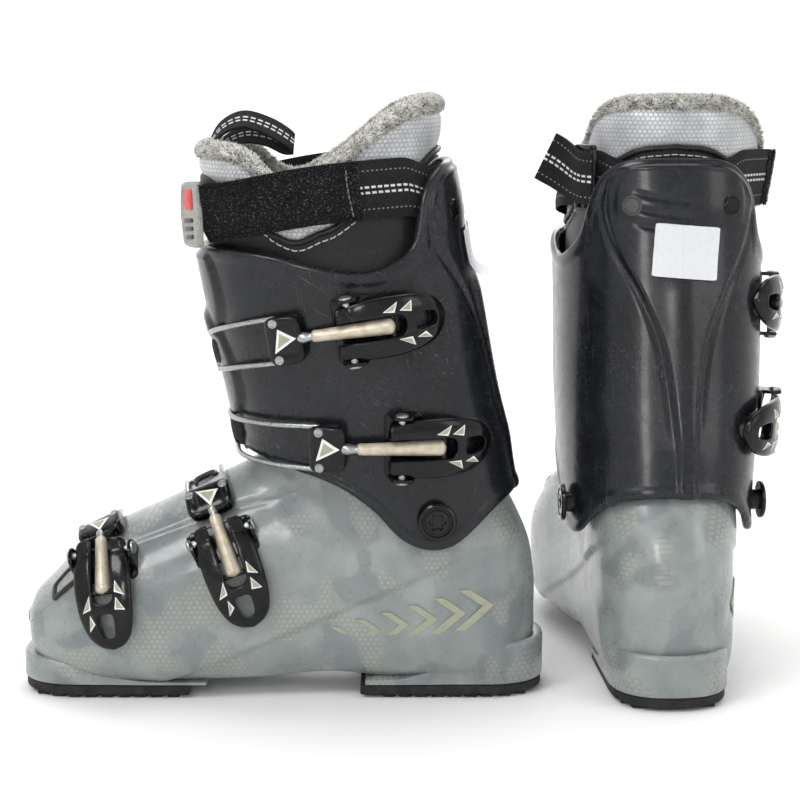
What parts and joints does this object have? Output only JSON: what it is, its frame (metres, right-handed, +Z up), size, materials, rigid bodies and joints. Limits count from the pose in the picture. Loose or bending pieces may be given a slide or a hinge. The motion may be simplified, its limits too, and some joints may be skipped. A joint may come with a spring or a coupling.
{
  "type": "alpine ski boots",
  "caption": "Pair of rigid-shell alpine ski boots: lug-soled lower shells, hinged forward-flexing cuffs, soft liners, power straps and over-centre lever buckles on toothed racks.",
  "frame": {"origin": "on the floor, under the middle of the pair's bounding box", "axes": "+X from the left boot's toe towards its heel and on to the right boot, +Y the way the right boot's toe points, +Z up"},
  "size_m": [0.4492, 0.3208, 0.345],
  "materials": {
    "clear_shell": "frosted translucent, glossy",
    "dark_shell": "smoke grey, glossy, lightly scratched",
    "black_gloss": "black, high gloss",
    "sole_rubber": "matt",
    "wire": "satin wire",
    "sleeve": "champagne, satin",
    "liner": "silver-grey embossed fabric",
    "webbing": "black woven webbing and loop pile",
    "board": "matt"
  },
  "bodies": {
    "boots": {"left_lower_shell": "clear_shell", "left_boot_board": "board", "left_liner_foot": "liner", "left_toe_sole": "sole_rubber", "left_heel_sole": "sole_rubber", "left_outer_pivot": "black_gloss", "left_inner_pivot": "black_gloss", "left_toe_buckle_base": "black_gloss", "left_toe_buckle_rack": "black_gloss", "left_instep_buckle_base": "black_gloss", "left_instep_buckle_rack": "black_gloss", "right_lower_shell": "clear_shell", "right_boot_board": "board", "right_liner_foot": "liner", "right_toe_sole": "sole_rubber", "right_heel_sole": "sole_rubber", "right_outer_pivot": "black_gloss", "right_inner_pivot": "black_gloss", "right_toe_buckle_base": "black_gloss", "right_toe_buckle_rack": "black_gloss", "right_instep_buckle_base": "black_gloss", "right_instep_buckle_rack": "black_gloss"},
    "left_cuff": {"left_cuff": "dark_shell", "left_liner_leg": "liner", "left_power_strap": "webbing", "left_ankle_buckle_base": "black_gloss", "left_ankle_buckle_rack": "black_gloss", "left_shin_buckle_base": "black_gloss", "left_shin_buckle_rack": "black_gloss"},
    "left_toe_buckle_lever": {"left_toe_buckle_lever": "black_gloss"},
    "left_toe_buckle_link": {"left_toe_buckle_link": "sleeve"},
    "left_toe_buckle_bail": {"left_toe_buckle_bail": "wire"},
    "left_instep_buckle_lever": {"left_instep_buckle_lever": "black_gloss"},
    "left_instep_buckle_link": {"left_instep_buckle_link": "sleeve"},
    "left_instep_buckle_bail": {"left_instep_buckle_bail": "wire"},
    "left_ankle_buckle_lever": {"left_ankle_buckle_lever": "black_gloss"},
    "left_ankle_buckle_link": {"left_ankle_buckle_link": "sleeve"},
    "left_ankle_buckle_bail": {"left_ankle_buckle_bail": "wire"},
    "left_shin_buckle_lever": {"left_shin_buckle_lever": "black_gloss"},
    "left_shin_buckle_link": {"left_shin_buckle_link": "sleeve"},
    "left_shin_buckle_bail": {"left_shin_buckle_bail": "wire"},
    "right_cuff": {"right_cuff": "dark_shell", "right_liner_leg": "liner", "right_power_strap": "webbing", "right_ankle_buckle_base": "black_gloss", "right_ankle_buckle_rack": "black_gloss", "right_shin_buckle_base": "black_gloss", "right_shin_buckle_rack": "black_gloss"},
    "right_toe_buckle_lever": {"right_toe_buckle_lever": "black_gloss"},
    "right_toe_buckle_link": {"right_toe_buckle_link": "sleeve"},
    "right_toe_buckle_bail": {"right_toe_buckle_bail": "wire"},
    "right_instep_buckle_lever": {"right_instep_buckle_lever": "black_gloss"},
    "right_instep_buckle_link": {"right_instep_buckle_link": "sleeve"},
    "right_instep_buckle_bail": {"right_instep_buckle_bail": "wire"},
    "right_ankle_buckle_lever": {"right_ankle_buckle_lever": "black_gloss"},
    "right_ankle_buckle_link": {"right_ankle_buckle_link": "sleeve"},
    "right_ankle_buckle_bail": {"right_ankle_buckle_bail": "wire"},
    "right_shin_buckle_lever": {"right_shin_buckle_lever": "black_gloss"},
    "right_shin_buckle_link": {"right_shin_buckle_link": "sleeve"},
    "right_shin_buckle_bail": {"right_shin_buckle_bail": "wire"}
  },
  "joints": [
    {"name": "left_cuff_flex", "type": "hinge", "parent": "boots", "child": "left_cuff", "pos_m": [0.01742, -0.08205, 0.11], "axis": [0, -1, 0], "range_deg": [0, 5], "stiffness_Nm_per_rad": 200},
    {"name": "left_ankle_buckle_open", "type": "hinge", "parent": "left_cuff", "child": "left_ankle_buckle_lever", "pos_m": [-0.00246, -0.15067, 0.15347], "axis": [-0.0077, 0.0775, -0.997], "range_deg": [0, 100]},
    {"name": "left_ankle_buckle_link", "type": "hinge", "parent": "left_ankle_buckle_lever", "child": "left_ankle_buckle_link", "pos_m": [0.02086, -0.1457, 0.15368], "axis": [-0.0077, 0.0775, -0.997], "range_deg": [-122, 0]},
    {"name": "left_ankle_buckle_bail", "type": "hinge", "parent": "left_ankle_buckle_link", "child": "left_ankle_buckle_bail", "pos_m": [-0.04781, -0.14716, 0.15349], "axis": [-0.0117, -0.1298, 0.9915], "range_deg": [0, 25]},
    {"name": "left_shin_buckle_open", "type": "hinge", "parent": "left_cuff", "child": "left_shin_buckle_lever", "pos_m": [-0.03076, -0.15479, 0.21925], "axis": [0.148, 0.0497, -0.9877], "range_deg": [0, 100]},
    {"name": "left_shin_buckle_link", "type": "hinge", "parent": "left_shin_buckle_lever", "child": "left_shin_buckle_link", "pos_m": [-0.00729, -0.15256, 0.22288], "axis": [0.148, 0.0497, -0.9877], "range_deg": [-122, 0]},
    {"name": "left_shin_buckle_bail", "type": "hinge", "parent": "left_shin_buckle_link", "child": "left_shin_buckle_bail", "pos_m": [-0.07048, -0.14802, 0.21376], "axis": [-0.1822, -0.0288, 0.9828], "range_deg": [0, 25]},
    {"name": "left_toe_buckle_open", "type": "hinge", "parent": "boots", "child": "left_toe_buckle_lever", "pos_m": [-0.17419, -0.11945, 0.08791], "axis": [-0.9678, 0.1638, -0.1913], "range_deg": [0, 100]},
    {"name": "left_toe_buckle_link", "type": "hinge", "parent": "left_toe_buckle_lever", "child": "left_toe_buckle_link", "pos_m": [-0.17207, -0.1311, 0.06721], "axis": [-0.9678, 0.1638, -0.1913], "range_deg": [-122, 0]},
    {"name": "left_toe_buckle_bail", "type": "hinge", "parent": "left_toe_buckle_link", "child": "left_toe_buckle_bail", "pos_m": [-0.17706, -0.09452, 0.09769], "axis": [0.9001, -0.007, 0.4355], "range_deg": [0, 25]},
    {"name": "left_instep_buckle_open", "type": "hinge", "parent": "boots", "child": "left_instep_buckle_lever", "pos_m": [-0.10525, -0.12745, 0.09975], "axis": [-0.9416, -0.0971, -0.3225], "range_deg": [0, 100]},
    {"name": "left_instep_buckle_link", "type": "hinge", "parent": "left_instep_buckle_lever", "child": "left_instep_buckle_link", "pos_m": [-0.09722, -0.13429, 0.07837], "axis": [-0.9416, -0.0971, -0.3225], "range_deg": [-122, 0]},
    {"name": "left_instep_buckle_bail", "type": "hinge", "parent": "left_instep_buckle_link", "child": "left_instep_buckle_bail", "pos_m": [-0.11362, -0.10816, 0.11945], "axis": [0.9314, -0.0005, 0.3639], "range_deg": [0, 25]},
    {"name": "right_cuff_flex", "type": "hinge", "parent": "boots", "child": "right_cuff", "pos_m": [0.14964, -0.08116, 0.11], "axis": [-0.9982, -0.06, 0], "range_deg": [0, 5], "stiffness_Nm_per_rad": 200},
    {"name": "right_ankle_buckle_open", "type": "hinge", "parent": "right_cuff", "child": "right_ankle_buckle_lever", "pos_m": [0.21695, -0.0572, 0.15347], "axis": [0.0779, -0.003, 0.997], "range_deg": [0, 100]},
    {"name": "right_ankle_buckle_link", "type": "hinge", "parent": "right_ankle_buckle_lever", "child": "right_ankle_buckle_link", "pos_m": [0.21339, -0.08077, 0.15368], "axis": [0.0779, -0.003, 0.997], "range_deg": [-122, 0]},
    {"name": "right_ankle_buckle_bail", "type": "hinge", "parent": "right_ankle_buckle_link", "child": "right_ankle_buckle_bail", "pos_m": [0.21072, -0.01214, 0.15349], "axis": [-0.1289, -0.0195, -0.9915], "range_deg": [0, 25]},
    {"name": "right_shin_buckle_open", "type": "hinge", "parent": "right_cuff", "child": "right_shin_buckle_lever", "pos_m": [0.21937, -0.02871, 0.21925], "axis": [0.0407, 0.1507, 0.9877], "range_deg": [0, 100]},
    {"name": "right_shin_buckle_link", "type": "hinge", "parent": "right_shin_buckle_lever", "child": "right_shin_buckle_link", "pos_m": [0.21855, -0.05226, 0.22288], "axis": [0.0407, 0.1507, 0.9877], "range_deg": [-122, 0]},
    {"name": "right_shin_buckle_bail", "type": "hinge", "parent": "right_shin_buckle_link", "child": "right_shin_buckle_bail", "pos_m": [0.21023, 0.01054, 0.21376], "axis": [-0.0178, -0.1836, -0.9828], "range_deg": [0, 25]},
    {"name": "right_toe_buckle_open", "type": "hinge", "parent": "boots", "child": "right_toe_buckle_lever", "pos_m": [0.17549, 0.11235, 0.08791], "axis": [0.2215, -0.9562, 0.1913], "range_deg": [0, 100]},
    {"name": "right_toe_buckle_link", "type": "hinge", "parent": "right_toe_buckle_lever", "child": "right_toe_buckle_link", "pos_m": [0.18724, 0.11093, 0.06721], "axis": [0.2215, -0.9562, 0.1913], "range_deg": [-122, 0]},
    {"name": "right_toe_buckle_bail", "type": "hinge", "parent": "right_toe_buckle_link", "child": "right_toe_buckle_bail", "pos_m": [0.15044, 0.11372, 0.09769], "axis": [-0.061, 0.8981, -0.4356], "range_deg": [0, 25]},
    {"name": "right_instep_buckle_open", "type": "hinge", "parent": "boots", "child": "right_instep_buckle_lever", "pos_m": [0.18761, 0.04401, 0.09975], "axis": [-0.0405, -0.9457, 0.3225], "range_deg": [0, 100]},
    {"name": "right_instep_buckle_link", "type": "hinge", "parent": "right_instep_buckle_lever", "child": "right_instep_buckle_link", "pos_m": [0.19492, 0.03641, 0.07837], "axis": [-0.0405, -0.9457, 0.3225], "range_deg": [-122, 0]},
    {"name": "right_instep_buckle_bail", "type": "hinge", "parent": "right_instep_buckle_link", "child": "right_instep_buckle_bail", "pos_m": [0.16785, 0.05121, 0.11945], "axis": [-0.0564, 0.9297, -0.3639], "range_deg": [0, 25]}
  ],
  "couplings": [
    {"joint": "left_ankle_buckle_link", "follows": "left_ankle_buckle_open", "ratio": -1.2},
    {"joint": "left_shin_buckle_link", "follows": "left_shin_buckle_open", "ratio": -1.2},
    {"joint": "left_toe_buckle_link", "follows": "left_toe_buckle_open", "ratio": -1.2},
    {"joint": "left_instep_buckle_link", "follows": "left_instep_buckle_open", "ratio": -1.2},
    {"joint": "right_ankle_buckle_link", "follows": "right_ankle_buckle_open", "ratio": -1.2},
    {"joint": "right_shin_buckle_link", "follows": "right_shin_buckle_open", "ratio": -1.2},
    {"joint": "right_toe_buckle_link", "follows": "right_toe_buckle_open", "ratio": -1.2},
    {"joint": "right_instep_buckle_link", "follows": "right_instep_buckle_open", "ratio": -1.2}
  ]
}
